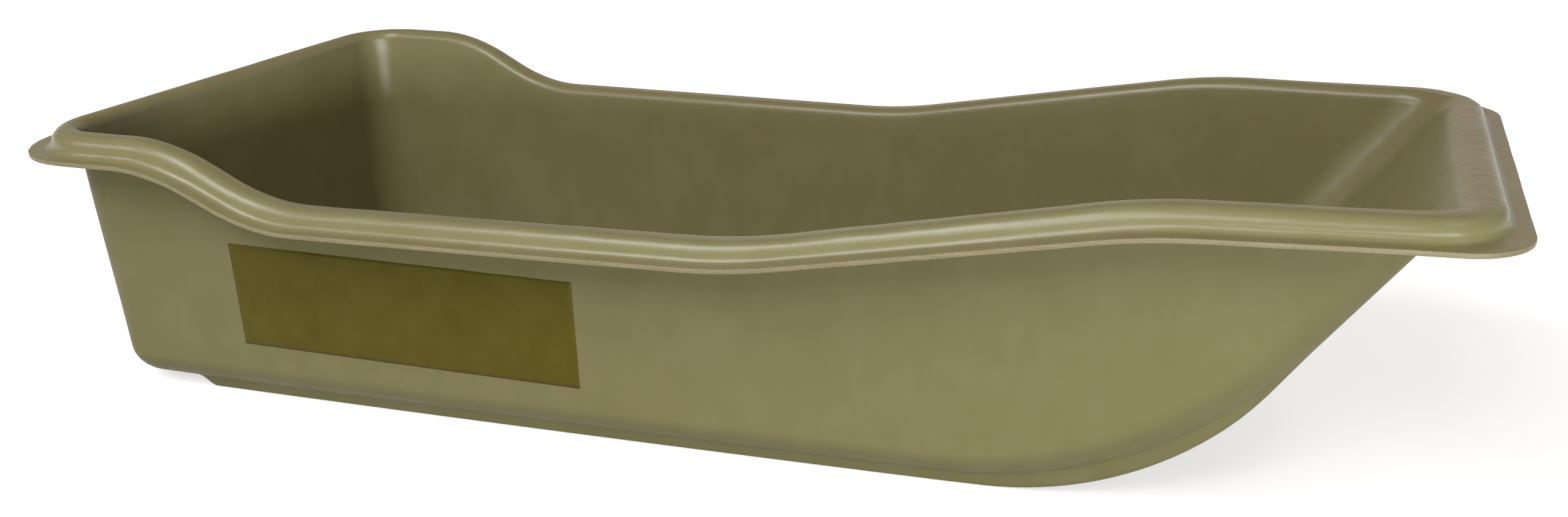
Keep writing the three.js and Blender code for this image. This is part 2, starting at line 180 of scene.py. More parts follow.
def rounded_max(a, b, radius):
    near_corner = (a > -radius) & (b > -radius)
    return np.where(near_corner, np.hypot(a + radius, b + radius) - radius, np.maximum(a, b))


def tub_distance(points):
    """Distance from the tub's inner face, positive outside it: the outer face is one sheet away."""
    x, y, z = points[..., 0], points[..., 1], points[..., 2]
    above = z - STERN_RIM_HEIGHT
    side_at = rim_half_width(x) - RIM_WIDTH + above * math.tan(SIDE_DRAFT)
    side = (np.abs(y) - side_at) * math.cos(SIDE_DRAFT)
    stern = (-x - STERN_INNER_LENGTH - above * math.tan(STERN_DRAFT)) * math.cos(STERN_DRAFT)
    walls = rounded_max(side, stern, CORNER_RADIUS)
    turn = keel_turn(x, z) / BOW_SLOPE
    radius = BOTTOM_RADIUS + (CREASE_RADIUS - BOTTOM_RADIUS) * turn
    return rounded_max(walls, keel_distance(x, z), radius)


def outline_distance(points, inset, stern_inset, stern_corner, bow_corner):
    """Distance from the rim's outline seen from above, drawn in by the insets."""
    x, y = points[..., 0], points[..., 1]
    above = rim_height(x) - STERN_RIM_HEIGHT
    side = np.abs(y) - rim_half_width(x) - above * math.tan(SIDE_DRAFT) + inset
    end = np.abs(x) - HALF_LENGTH + np.where(x < 0, stern_inset, inset)
    return rounded_max(side, end, np.where(x < 0, stern_corner, bow_corner))


def bead_distance(points):
    insets = (FLANGE_WIDTH, STERN_FLANGE_WIDTH)
    return outline_distance(points, *insets, STERN_BEAD_CORNER, BOW_BEAD_CORNER)


def flange_distance(points):
    return outline_distance(points, 0.0, 0.0, STERN_FLANGE_CORNER, BOW_FLANGE_CORNER)


BISECTIONS = 36
NORMAL_STEP = SHEET / 100


def cast_rays(origins, directions, distance, measure=tub_distance):
    """Where rays that start inside a surface reach a given distance from it."""
    near = np.zeros(origins.shape[:-1])
    far = np.full(origins.shape[:-1], 2 * HALF_LENGTH)
    for _ in range(BISECTIONS):
        middle = (near + far) / 2
        inside = measure(origins + directions * middle[..., None]) < distance
        near = np.where(inside, middle, near)
        far = np.where(inside, far, middle)
    return origins + directions * ((near + far) / 2)[..., None]


def tub_normals(points):
    slopes = []
    for step in np.eye(3) * NORMAL_STEP:
        slopes.append(tub_distance(points + step) - tub_distance(points - step))
    normals = np.stack(slopes, axis=-1)
    return normals / np.linalg.norm(normals, axis=-1, keepdims=True)


# ---------------------------------------------------------------- small unevenness of the moulding

WAVE_STRETCHES = (0.62, 0.81, 1.0, 1.33, 1.74, 2.3)


def waves(values, spacing, seed):
    """Irregular waves along one direction, between -1 and 1."""
    chance = np.random.default_rng(seed)
    total = np.zeros_like(values)
    for stretch in WAVE_STRETCHES:
        total += np.sin(values * math.tau / (spacing * stretch) + chance.uniform(0, math.tau))
    return total / len(WAVE_STRETCHES)


def positive_waves(values, spacing, seed):
    return (1 + waves(values, spacing, seed)) / 2


def smooth_step(values, low, high):
    share = np.clip((values - low) / (high - low), 0, 1)
    return share * share * (3 - 2 * share)


def way_round(x, y):
    """A rough measure of the way round the tub, in metres."""
    return np.arctan2(y, x) * HALF_LENGTH / 2 + x


WALL_WAVE = 0.0011
WALL_WAVE_SPACING = 0.16
WALL_ROUND_SEED, WALL_UPWARD_SEED = 3, 4
WALL_ROUND_SLANT, WALL_UPWARD_SLANT = 1 / 2, 1 / 3
WALL_WAVE_FOOT = (0.035, 0.075)
WALL_WAVE_TOP = (0.018, 0.063)


def wall_unevenness(points):
    """How far the wall stands out of true: slow waves that fade out at the floor and at the rim."""
    x, y, z = points[..., 0], points[..., 1], points[..., 2]
    along = way_round(x, y) + z * WALL_ROUND_SLANT
    upward = z - x * WALL_UPWARD_SLANT
    wave = waves(along, WALL_WAVE_SPACING, WALL_ROUND_SEED)
    wave = wave * positive_waves(upward, WALL_WAVE_SPACING, WALL_UPWARD_SEED)
    fade = smooth_step(z - keel_height(x), *WALL_WAVE_FOOT)
    fade = fade * smooth_step(rim_height(x) - z, *WALL_WAVE_TOP)
    return WALL_WAVE * wave * fade


def uneven(points):
    return points + tub_normals(points) * wall_unevenness(points)[..., None]


# ---------------------------------------------------------------- rows and columns of the hull

BOW_FOOT_RADII = 1.5
BOW_FOOT_DROP = INNER_EDGE_RADIUS + BOW_FOOT_RADII * BOTTOM_RADIUS
BOW_FOOT_X = BOW_INNER_LENGTH - BOW_FOOT_DROP / math.tan(BOW_SLOPE)
STERN_WALL_RUN = (STERN_RIM_HEIGHT - FLOOR_HEIGHT) * math.tan(STERN_DRAFT)
STERN_FOOT_X = -STERN_INNER_LENGTH + STERN_WALL_RUN + FOOT_SHARE * BOTTOM_RADIUS
CORNER_RUN = CORNER_RADIUS - FOOT_SHARE * BOTTOM_RADIUS
RUNNER_START_X = -HALF_LENGTH + RUNNER_START
RUNNER_END_X = ROCKER_START_X + TUB_ROCKER * math.sin(BOW_SLOPE)

ROW_STEP = 0.0105
CORNER_STEP = 0.0045
RAMP_STEP = 0.0023
COLUMN_STEP = 0.011
ROUND_STEPS = 4
BOW_SPLIT = 3
WALL_RINGS = 12
FAN_RINGS = 8
FAN_SHARE = 2 / 3
TINY = 1e-12


def line_half_width(x, share):
    """Half the width between the wall's feet, a share of the bottom radius inside the wall."""
    height = keel_height(x)
    wall = rim_half_width(x) - RIM_WIDTH + (height - STERN_RIM_HEIGHT) * math.tan(SIDE_DRAFT)
    turn = keel_turn(x, height) / BOW_SLOPE
    return wall - share * (BOTTOM_RADIUS + (CREASE_RADIUS - BOTTOM_RADIUS) * turn)


def row_places():
    """Where the mesh has rows along the sled: closer in the corners and at the runner's ramp."""
    ramp = (RUNNER_START_X - RAMP_EASE, RUNNER_START_X + RUNNER_RAMP + RAMP_EASE)
    stretches = [
        (STERN_FOOT_X, STERN_FOOT_X + CORNER_RUN, CORNER_STEP),
        (STERN_FOOT_X + CORNER_RUN, ramp[0], ROW_STEP),
        (ramp[0], ramp[1], RAMP_STEP),
        (ramp[1], BOW_FOOT_X - CORNER_RUN, ROW_STEP),
        (BOW_FOOT_X - CORNER_RUN, BOW_FOOT_X, CORNER_STEP),
    ]
    places = [STERN_FOOT_X]
    for start, end, step in stretches:
        count = max(round((end - start) / step), 1)
        places.extend(np.linspace(start, end, count + 1)[1:])
    return np.array(places)


def runner_profile(inner):
    """Across one runner: distance in from its outer edge line, and depth as a share of its full
    depth. The inner face lies one sheet inside the underside, so its roundings differ from it."""
    side = math.atan2(RUNNER_DEPTH * RUNNER_EDGE_SHARE, RUNNER_SIDE_RUN)
    tangent = math.tan(side / 2)
    corner = RUNNER_DEPTH / math.tan(side)
    across, depth, lean = [], [], []
    for step in range(ROUND_STEPS + 1):
        angle = side * step / ROUND_STEPS
        across.append(RUNNER_TOP_ROUND * (math.sin(angle) - tangent))
        depth.append(RUNNER_TOP_ROUND * (1 - math.cos(angle)))
        lean.append(angle)
    for step in range(ROUND_STEPS + 1):
        angle = side * (1 - step / ROUND_STEPS)
        across.append(corner + RUNNER_SOLE_ROUND * (tangent - math.sin(angle)))
        depth.append(RUNNER_DEPTH - RUNNER_SOLE_ROUND * (1 - math.cos(angle)))
        lean.append(angle)
    across, depth, lean = np.array(across), np.array(depth), np.array(lean)
    if inner:
        across = across + SHEET * np.sin(lean)
        depth = depth + SHEET * (1 - np.cos(lean))
    width = 2 * RUNNER_SIDE_RUN + RUNNER_WIDTH
    flat_count = round((width - 2 * across[-1]) / COLUMN_STEP)
    flat = np.linspace(across[-1], width - across[-1], flat_count + 1)[1:-1]
    across = np.concatenate([across, flat, width - across[::-1]])
    depth = np.concatenate([depth, np.full(len(flat), RUNNER_DEPTH), depth[::-1]])
    return across, depth / RUNNER_DEPTH


def floor_columns(rows, inner):
    """The grid's columns, from the +Y foot line to the -Y one: y at each row, and their depth."""
    across, depth = runner_profile(inner)
    foot = line_half_width(rows, FOOT_SHARE)
    edge = line_half_width(rows, EDGE_SHARE) - RUNNER_INSET
    widest = foot.max() - across[-1]
    middle_count = round(widest / COLUMN_STEP)
    half_count = 1 + len(across) + middle_count
    from_stern = (rows - STERN_FOOT_X) / (RUNNER_START_X - STERN_FOOT_X)
    from_bow = (BOW_FOOT_X - rows) / (BOW_FOOT_X - RUNNER_END_X)
    gathered = np.clip(np.minimum(from_stern, from_bow), 0, 1)
    columns = [foot]
    for index, place in enumerate(across):
        even = foot * (1 - (index + 1) / half_count)
        columns.append(even + (edge - place - even) * gathered)
    last = columns[-1]
    for index in range(middle_count):
        share = 1 - (index + 1) / middle_count
        columns.append(last * share)
    half = np.stack(columns, axis=1)
    half_depth = np.concatenate([[0], depth, np.zeros(middle_count)])
    whole = np.concatenate([half, -half[:, -2::-1]], axis=1)
    return whole, np.concatenate([half_depth, half_depth[-2::-1]])


def floor_nodes(x, y):
    """Nodes of the floor's grid: near the corners its outline bends round an arc, and the wall that
    starts there faces away from the arc's centre."""
    along_run = np.clip(CORNER_RUN - np.minimum(x - STERN_FOOT_X, BOW_FOOT_X - x), 0, CORNER_RUN)
    across_run = np.clip(CORNER_RUN - line_half_width(x, FOOT_SHARE) + np.abs(y), 0, CORNER_RUN)
    along = along_run * np.sqrt(1 - across_run ** 2 / (2 * CORNER_RUN ** 2))
    across = across_run * np.sqrt(1 - along_run ** 2 / (2 * CORNER_RUN ** 2))
    node_x = x + np.sign(x) * (along - along_run)
    node_y = y + np.sign(y) * (across - across_run)
    facing = np.stack([np.sign(x) * along, np.sign(y) * across, np.zeros_like(x)], axis=-1)
    length = np.linalg.norm(facing, axis=-1, keepdims=True)
    return node_x, node_y, facing / np.maximum(length, TINY)


def runner_reach(x):
    """How deep the runners stand below the tub: a short eased ramp, then a tighter rocker."""
    ramp = smooth_step(x, RUNNER_START_X - RAMP_EASE, RUNNER_START_X + RUNNER_RAMP + RAMP_EASE)
    return ramp * (keel_height(x, SHEET) - keel_line(x, 0.0, RUNNER_ROCKER, SOLE_FOOT_X))


DOWN = np.array([0.0, 0.0, -1.0])


def floor_grid(rows, inner):
    distance = 0.0 if inner else SHEET
    columns, depth = floor_columns(rows, inner)
    x = np.repeat(rows[:, None], columns.shape[1], axis=1)
    node_x, node_y, _ = floor_nodes(x, columns)
    origins = np.stack([node_x, node_y, rim_height(node_x)], axis=-1)
    points = cast_rays(origins, DOWN, distance)
    reach = runner_reach(x)
    above = (points[..., 2] - keel_height(node_x, distance)) * np.minimum(reach / RUNNER_DEPTH, 1)
    points[..., 2] -= depth * (reach + above)
    return points


def wall_stations(rows):
    """The closed loop of stations round the tub. Each has its place on the grid's border, or none
    where it divides the bow's border more finely."""
    columns, _ = floor_columns(rows, True)
    last_row, last_column = len(rows) - 1, columns.shape[1] - 1
    x, y, border = [], [], []

    def add(row, column):
        x.append(rows[row])
        y.append(columns[row, column])
        border.append((row, column))

    for row in range(last_row):
        add(row, 0)
    for column in range(last_column):
        add(last_row, column)
        here, following = columns[last_row, column], columns[last_row, column + 1]
        for part in range(1, BOW_SPLIT):
            x.append(rows[last_row])
            y.append(here + (following - here) * part / BOW_SPLIT)
            border.append(None)
    for row in range(last_row, 0, -1):
        add(row, last_column)
    for column in range(last_column, 0, -1):
        add(0, column)
    node_x, node_y, facing = floor_nodes(np.array(x), np.array(y))
    return node_x, node_y, facing, border


# ---------------------------------------------------------------- the rim's section and the wall

FLANGE_STEPS = 3
FILLET_STEPS = 8
SKIRT_STEPS = 1
OUTER_STEPS = 8
TOP_STEPS = 8
INNER_STEPS = 8
TRIM_STEPS = 3

TRIM_WAVE = 0.0007
TRIM_WAVE_SPACING = 0.055
BOW_TRIM_WAVE = 0.0005
BOW_RIPPLE = 0.0006
BOW_RIPPLE_SPACING = 0.017
BOW_RIPPLE_SLANT = 1 / 16
RIM_WAVE = 0.0007
RIM_WAVE_SPACING = 0.14
TRIM_SEED, RIPPLE_SEED, RIM_SEED = 11, 21, 22
CORNER_PASSES = 3


def arc(centre_out, centre_up, radius, start, end, steps):
    angles = [start + (end - start) * step / steps for step in range(steps + 1)]
    out = np.stack([centre_out + radius * np.cos(angle) for angle in angles], axis=1)
    up = np.stack([centre_up + radius * np.sin(angle) for angle in angles], axis=1)
    return out, up


def between(first, last, steps):
    """Points between two, without the ends."""
    shares = np.arange(1, steps) / steps
    return first[:, None] + (last - first)[:, None] * shares


def inner_edge_radius(lean):
    """The bead's inner rounding, which widens from the upright sides to the sloping bow."""
    share = smooth_step(lean, SIDE_DRAFT, math.pi / 2 - BOW_SLOPE)
    return INNER_EDGE_RADIUS + (BOW_EDGE_RADIUS - INNER_EDGE_RADIUS) * share


def rim_section(lean, depth, bead_reach, edge_reach, bead_height):
    """The section at each station, from the trimmed edge over the bead to the top of the wall, as
    distances outward and upward from where the wall would meet the bead's top. The last result
    tells how much each point is part of the bead's top, from 0 at its two feet to 1."""
    flat = np.zeros_like(lean)
    cos_draft, sin_draft = math.cos(SKIRT_DRAFT), math.sin(SKIRT_DRAFT)
    outer_radius = OUTER_EDGE_SHARE * bead_height
    fillet_radius = FILLET_SHARE * bead_height
    skirt_top_up = flat - outer_radius * (1 - sin_draft)
    skirt_foot_out = bead_reach - FOOT_SHARE_IN * bead_height
    skirt_top_out = skirt_foot_out - (bead_height + skirt_top_up) * math.tan(SKIRT_DRAFT)
    outer_centre = skirt_top_out - outer_radius * cos_draft
    fillet_up = -bead_height + fillet_radius
    skirt_run = (skirt_top_up - fillet_up + fillet_radius * sin_draft) / cos_draft
    fillet_out = skirt_top_out + skirt_run * sin_draft + fillet_radius * cos_draft
    inner_radius = inner_edge_radius(lean)
    inner_centre = inner_radius * (1 - np.sin(lean)) / np.cos(lean)
    quarter = math.pi / 2
    fillet = arc(fillet_out, fillet_up, fillet_radius + depth,
                 -quarter, SKIRT_DRAFT - math.pi, FILLET_STEPS)
    outer = arc(outer_centre, -outer_radius, outer_radius - depth,
                SKIRT_DRAFT, quarter, OUTER_STEPS)
    inner = arc(inner_centre, -inner_radius, inner_radius - depth,
                quarter, math.pi - lean, INNER_STEPS)
    edge_out = edge_reach - TRIM_ROUND
    edge_up = flat - bead_height - depth
    out = [edge_out[:, None], between(edge_out, fillet_out, FLANGE_STEPS), fillet[0],
           between(fillet[0][:, -1], outer[0][:, 0], SKIRT_STEPS), outer[0],
           between(outer[0][:, -1], inner[0][:, 0], TOP_STEPS), inner[0]]
    up = [edge_up[:, None], between(edge_up, edge_up, FLANGE_STEPS), fillet[1],
          between(fillet[1][:, -1], outer[1][:, 0], SKIRT_STEPS), outer[1],
          between(outer[1][:, -1], inner[1][:, 0], TOP_STEPS), inner[1]]
    out, up = np.concatenate(out, axis=1), np.concatenate(up, axis=1)
    on_bead = smooth_step(up + depth, -bead_height[:, None], -outer_radius[:, None] / 2)
    on_bead[:, -INNER_STEPS - 1:] = smooth_step(up, up[:, -1:], -depth)[:, -INNER_STEPS - 1:]
    middle = (outer_centre + inner_centre)[:, None] / 2
    half_top = (outer_centre - inner_centre)[:, None] / 2
    up = up - BEAD_DOME * np.minimum(np.abs(out - middle), half_top) ** 2 * on_bead
    return out, up, on_bead


def rim_corners(x, y, facing):
    """Where each station's wall meets the height of the rim's top."""
    origins = np.stack([x, y, rim_height(x)], axis=-1)
    corners = cast_rays(origins, facing, 0.0)
    for _ in range(CORNER_PASSES):
        origins[:, 2] = rim_height(corners[:, 0])
        corners = cast_rays(origins, facing, 0.0)
    return corners


def rim_lines(stations, depth):
    """Each station's points over the rim, then its wall's top, its lean and the way it faces."""
    x, y, facing, _ = stations
    corners = rim_corners(x, y, facing)
    normals = tub_normals(corners)
    lean = np.arcsin(-normals[:, 2])
    outward = normals * (1, 1, 0)
    outward /= np.linalg.norm(outward, axis=1, keepdims=True)
    bead_ends = cast_rays(corners, outward, 0.0, bead_distance)
    edge_ends = cast_rays(corners, outward, 0.0, flange_distance)
    bead_reach = np.linalg.norm(bead_ends - corners, axis=1)
    edge_reach = np.linalg.norm(edge_ends - corners, axis=1) - trim_unevenness(edge_ends)
    bead_height = side_line(corners[:, 0], BEAD_HEIGHTS)
    out, up, on_bead = rim_section(lean, depth, bead_reach, edge_reach, bead_height)
    points = corners[:, None, :] + outward[:, None, :] * out[..., None]
    points[..., 2] = corners[:, None, 2] + up
    points[..., 2] -= bead_unevenness(points) * on_bead
    return points, corners, lean, outward


def trim_unevenness(points):
    """How far inside its outline the sheet is trimmed: slow waves, a little straighter at the bow."""
    x, y = points[:, 0], points[:, 1]
    at_bow = smooth_step(x, HALF_LENGTH - 2 * BOW_BEAD_CORNER, HALF_LENGTH - FLANGE_WIDTH)
    depth = TRIM_WAVE + (BOW_TRIM_WAVE - TRIM_WAVE) * at_bow
    return depth * positive_waves(way_round(x, y), TRIM_WAVE_SPACING, TRIM_SEED)


def bead_unevenness(points):
    """How far the bead's top sinks: slow waves all round, and close ripples across the bow."""
    x, y = points[..., 0], points[..., 1]
    at_bow = smooth_step(x, BOW_INNER_LENGTH - CORNER_RADIUS / 2, BOW_INNER_LENGTH)
    ripple = positive_waves(y + x * BOW_RIPPLE_SLANT, BOW_RIPPLE_SPACING, RIPPLE_SEED)
    slow = positive_waves(way_round(x, y), RIM_WAVE_SPACING, RIM_SEED)
    return BOW_RIPPLE * ripple * at_bow + RIM_WAVE * slow


def trim_strip(inner_lines, outer_lines, outward):
    """The trimmed edge's rows between the two faces, with a small rounding above and below."""
    quarter = math.pi / 2
    arcs = ((inner_lines, quarter, 0.0, 1), (outer_lines, 0.0, -quarter, -1))
    rows = []
    for lines, start, end, side in arcs:
        for step in range(TRIM_STEPS + 1):
            angle = start + (end - start) * step / TRIM_STEPS
            row = lines[:, 0] + outward * TRIM_ROUND * math.cos(angle)
            row[:, 2] += TRIM_ROUND * (math.sin(angle) - side)
            rows.append(row)
    return np.stack(rows[1:-1], axis=1)


def wall_rings(stations, corners, lean, distance):
    """Rings down the wall, then a fan round the rounding at its foot."""
    x, y, facing, _ = stations
    wall_top = corners[:, 2] - inner_edge_radius(lean) * (1 - np.sin(lean))
    foot_height = cast_rays(np.stack([x, y, rim_height(x)], axis=-1), DOWN, 0.0)[:, 2]
    turn = keel_turn(x, keel_height(x)) / BOW_SLOPE
    crease = BOTTOM_RADIUS + (CREASE_RADIUS / math.cos(BOW_SLOPE) - BOTTOM_RADIUS) * turn
    fan_height = foot_height + np.minimum(crease, (wall_top - foot_height) * FAN_SHARE)
    rings = []
    for ring in range(1, WALL_RINGS):
        height = wall_top + (fan_height - wall_top) * ring / WALL_RINGS
        rings.append(cast_rays(np.stack([x, y, height], axis=-1), facing, distance))
    centres = np.stack([x, y, fan_height], axis=-1)
    for ring in range(FAN_RINGS):
        angle = math.pi / 2 * ring / FAN_RINGS
        directions = facing * math.cos(angle) + DOWN * math.sin(angle)
        rings.append(cast_rays(centres, directions, distance))
    return np.stack(rings, axis=1)


# ---------------------------------------------------------------- the hull's mesh

def face_quads(first, line_count, ring_count):
    """Quads between neighbouring lines of a closed loop, whose points are numbered line by line."""
    line = np.arange(line_count)[:, None]
    ring = np.arange(ring_count - 1)[None, :]
    here = first + line * ring_count + ring
    following = first + (line + 1) % line_count * ring_count + ring
    return np.stack([here, here + 1, following + 1, following], axis=-1).reshape(-1, 4)


def grid_quads(first, row_count, column_count):
    row = np.arange(row_count - 1)[:, None]
    column = np.arange(column_count - 1)[None, :]
    here = first + row * column_count + column
    following = here + column_count
    return np.stack([here, here + 1, following + 1, following], axis=-1).reshape(-1, 4)


def border_faces(border, ring_count, line_first, grid_first, column_count):
    """Faces between the last ring and the grid's border, on which some stations have no place."""
    places = [index for index, place in enumerate(border) if place is not None]
    faces = []
    last = [line_first + index * ring_count + ring_count - 1 for index in range(len(border))]
    for position, index in enumerate(places):
        following = places[(position + 1) % len(places)]
        steps = (following - index) % len(border)
        here = grid_first + border[index][0] * column_count + border[index][1]
        there = grid_first + border[following][0] * column_count + border[following][1]
        middle = steps // 2
        for step in range(steps):
            a = last[(index + step) % len(border)]
            b = last[(index + step + 1) % len(border)]
            if step < middle:
                faces.append((a, here, b))
            elif step > middle:
                faces.append((a, there, b))
            else:
                faces.append((a, here, there, b))
    return faces


def trim_faces(sides, first, strip_count):
    """Faces from the inside's edge over the trimmed edge's rows to the outside's edge."""
    (inner_lines, inner_first), (outer_lines, outer_first) = sides
    index = np.arange(len(inner_lines))[:, None]
    numbers = np.concatenate([
        inner_first + index * inner_lines.shape[1],
        first + index * strip_count + np.arange(strip_count),
        outer_first + index * outer_lines.shape[1],
    ], axis=1)
    following = np.roll(numbers, -1, axis=0)
    corners = [numbers[:, :-1], following[:, :-1], following[:, 1:], numbers[:, 1:]]
    return np.stack(corners, axis=-1).reshape(-1, 4).tolist()


INSIDE_SLOT, TRIM_SLOT, OUTSIDE_SLOT = range(3)


def hull_mesh():
    """The sheet's inside and outside, each of wall lines and a floor grid, and its trimmed edge."""
    rows = row_places()
    stations = wall_stations(rows)
    points, faces, slots, sides = [], [], [], []
    count = 0
    for inner in (True, False):
        distance = 0.0 if inner else SHEET
        rim, corners, lean, outward = rim_lines(stations, distance)
        walls = uneven(wall_rings(stations, corners, lean, distance))
        lines = np.concatenate([rim, walls], axis=1)
        grid = floor_grid(rows, inner)
        line_count, ring_count = lines.shape[:2]
        row_count, column_count = grid.shape[:2]
        grid_first = count + line_count * ring_count
        quads = np.concatenate([
            face_quads(count, line_count, ring_count),
            grid_quads(grid_first, row_count, column_count),
        ]).tolist()
        quads += border_faces(stations[3], ring_count, count, grid_first, column_count)
        faces += quads if inner else [face[::-1] for face in quads]
        slots += [INSIDE_SLOT if inner else OUTSIDE_SLOT] * len(quads)
        points += [lines.reshape(-1, 3), grid.reshape(-1, 3)]
        sides.append((lines, count))
        count = grid_first + row_count * column_count
    strip = trim_strip(sides[0][0], sides[1][0], outward)
    trim = trim_faces(sides, count, strip.shape[1])
    points.append(strip.reshape(-1, 3))
    faces += trim
    slots += [TRIM_SLOT] * len(trim)
    mesh = bpy.data.meshes.new("hull_shell")
    mesh.from_pydata(np.concatenate(points).tolist(), [], faces)
    mesh.polygons.foreach_set("material_index", slots)
    mesh.shade_smooth()
    mesh.update()
    return mesh


# ---------------------------------------------------------------- the label's mesh

LABEL_STEPS = (96, 28)
FILM_SLOT, CUT_EDGE_SLOT = range(2)


def label_mesh():
    """A thin film that follows the wall, with its face, its back and its cut edge."""
    along, up = LABEL_STEPS
    across = (np.arange(along + 1) / along - 1 / 2)[:, None] * LABEL_LENGTH
    rise = (np.arange(up + 1) / up - 1 / 2)[None, :] * LABEL_HEIGHT
    centre_x = -HALF_LENGTH + LABEL_FROM_STERN
    x = centre_x + across * math.cos(LABEL_TILT) - rise * math.sin(LABEL_TILT)
    z = LABEL_CENTRE_HEIGHT + across * math.sin(LABEL_TILT) + rise * math.cos(LABEL_TILT)
    origins = np.stack([x, np.zeros_like(x), z], axis=-1)
    outward = np.array([0.0, -1.0, 0.0])
    layers = [uneven(cast_rays(origins, outward, SHEET + gap)) for gap in (LABEL_NEAR, LABEL_FAR)]
    points = np.concatenate([layer.reshape(-1, 3) for layer in layers])
    size = (along + 1) * (up + 1)
    back = grid_quads(0, along + 1, up + 1)
    front = grid_quads(size, along + 1, up + 1)[:, ::-1]
    number = np.arange(size).reshape(along + 1, up + 1)
    rim = np.concatenate([number[:-1, 0], number[-1, :-1], number[:0:-1, -1], number[0, :0:-1]])
    following = np.roll(rim, -1)
    edge = np.stack([rim, following, following + size, rim + size], axis=-1)
    faces = np.concatenate([front, back, edge])
    mesh = bpy.data.meshes.new("side_label_film")
    mesh.from_pydata(points.tolist(), [], faces.tolist())
    slots = [FILM_SLOT] * (len(front) + len(back)) + [CUT_EDGE_SLOT] * len(edge)
    mesh.polygons.foreach_set("material_index", slots)
    mesh.polygons.foreach_set("use_smooth", [slot == FILM_SLOT for slot in slots])
    mesh.update()
    return mesh


# ---------------------------------------------------------------- materials

# A noise is the size of its patches in metres, its detail, its roughness and its distortion.
# Nearly all of its values lie in NOISE_SPAN.
NOISE_SPAN = (0.3, 0.7)

OLIVE_DARK = (0.205, 0.183, 0.079)
OLIVE = (0.212, 0.189, 0.083)
OLIVE_LIGHT = (0.220, 0.197, 0.090)
OLIVE_STOPS = ((0.38, OLIVE_DARK), (0.5, OLIVE), (0.62, OLIVE_LIGHT))
HULL_PATCHES = (0.11, 3.0, 0.55, 0.4)
HULL_CLOUDS = (0.034, 2.0, 0.5, 0.6)
HULL_CLOUD_STRETCH = (1, 1, 0.6)
HULL_GLOSS = (0.05, 4.0, 0.6, 0.0)
HULL_SWELL = (0.045, 1.0, 0.4, 0.0)
HULL_PEEL = (0.009, 2.0, 0.5, 0.0)
HULL_GRAIN = (0.0011, 3.0, 0.6, 0.0)
HULL_BUMPS = ((HULL_SWELL, 0.0009), (HULL_PEEL, 0.00022), (HULL_GRAIN, 0.00005))
INSIDE_ROUGHNESS, INSIDE_SPECULAR = (0.285, 0.35), 0.5
OUTSIDE_ROUGHNESS, OUTSIDE_SPECULAR = (0.46, 0.56), 0.15

TRIM_TAN_DARK = (0.205, 0.170, 0.080)
TRIM_TAN = (0.285, 0.245, 0.135)
TRIM_STOPS = ((0.40, TRIM_TAN_DARK), (0.62, TRIM_TAN))
TRIM_CHATTER, TRIM_CHATTER_DEPTH = (0.0013, 3.0, 0.65, 0.0), 0.00022
TRIM_STROKES, TRIM_STROKE_DEPTH = (0.0011, 3.0, 0.6, 0.0), 0.00030
TRIM_STROKE_STRETCH = (0.03, 0.03, 1)
TRIM_ROUGHNESS = 0.5

LABEL_DARK = (0.094, 0.075, 0.007)
LABEL_LIGHT = (0.112, 0.092, 0.012)
LABEL_STOPS = ((0.3, LABEL_DARK), (0.7, LABEL_LIGHT))
LABEL_PATCHES = (0.03, 3.0, 0.6, 0.0)
LABEL_GLOSS = (0.02, 3.0, 0.6, 0.0)
LABEL_SWELL = (0.03, 1.0, 0.4, 0.0)
LABEL_GRAIN = (0.0016, 2.0, 0.5, 0.0)
LABEL_BUMPS = ((LABEL_SWELL, 0.0004), (LABEL_GRAIN, 0.00006))
LABEL_ROUGHNESS, LABEL_SPECULAR = (0.34, 0.44), 0.1

# The label's cut edge is painted paler than the film: a painted highlight, the thin light line where
# light catches the edge.
LABEL_EDGE_PAINTED_HIGHLIGHT = (0.200, 0.180, 0.095)
LABEL_EDGE_HIGHLIGHT_STOPS = ((0.35, LABEL_LIGHT), (0.65, LABEL_EDGE_PAINTED_HIGHLIGHT))
LABEL_EDGE_FLECKS = (0.002, 3.0, 0.6, 0.0)
LABEL_EDGE_ROUGHNESS = 0.55


def new_material(name):
    material = bpy.data.materials.new(name)
    material.use_nodes = True
    nodes = material.node_tree.nodes
    return material, nodes, material.node_tree.links, nodes["Principled BSDF"]


def object_coordinates(nodes, links, stretch=(1, 1, 1)):
    place = nodes.new("ShaderNodeTexCoord")
    mapping = nodes.new("ShaderNodeMapping")
    mapping.inputs["Scale"].default_value = stretch
    links.new(place.outputs["Object"], mapping.inputs["Vector"])
    return mapping.outputs["Vector"]


def noise(nodes, links, vector, settings):
    grain, detail, roughness, distortion = settings
    texture = nodes.new("ShaderNodeTexNoise")
    texture.inputs["Scale"].default_value = 1 / grain
    texture.inputs["Detail"].default_value = detail
    texture.inputs["Roughness"].default_value = roughness
    texture.inputs["Distortion"].default_value = distortion
    links.new(vector, texture.inputs["Vector"])
    return texture.outputs["Fac"]


def ramp(nodes, links, value, stops):
    """A colour ramp whose stops are (place, colour)."""
    node = nodes.new("ShaderNodeValToRGB")
    elements = node.color_ramp.elements
    for index, (place, colour) in enumerate(stops):
        element = elements[index] if index < 2 else elements.new(place)
        element.position = place
        element.color = (*colour, 1)
    links.new(value, node.inputs["Fac"])
    return node.outputs["Color"]


def map_range(nodes, links, value, span, results):
    node = nodes.new("ShaderNodeMapRange")
    node.inputs["From Min"].default_value, node.inputs["From Max"].default_value = span
    node.inputs["To Min"].default_value, node.inputs["To Max"].default_value = results
    links.new(value, node.inputs["Value"])
    return node.outputs["Result"]


def mean(nodes, links, first, second):
    node = nodes.new("ShaderNodeMix")
    links.new(first, node.inputs["A"])
    links.new(second, node.inputs["B"])
    return node.outputs["Result"]


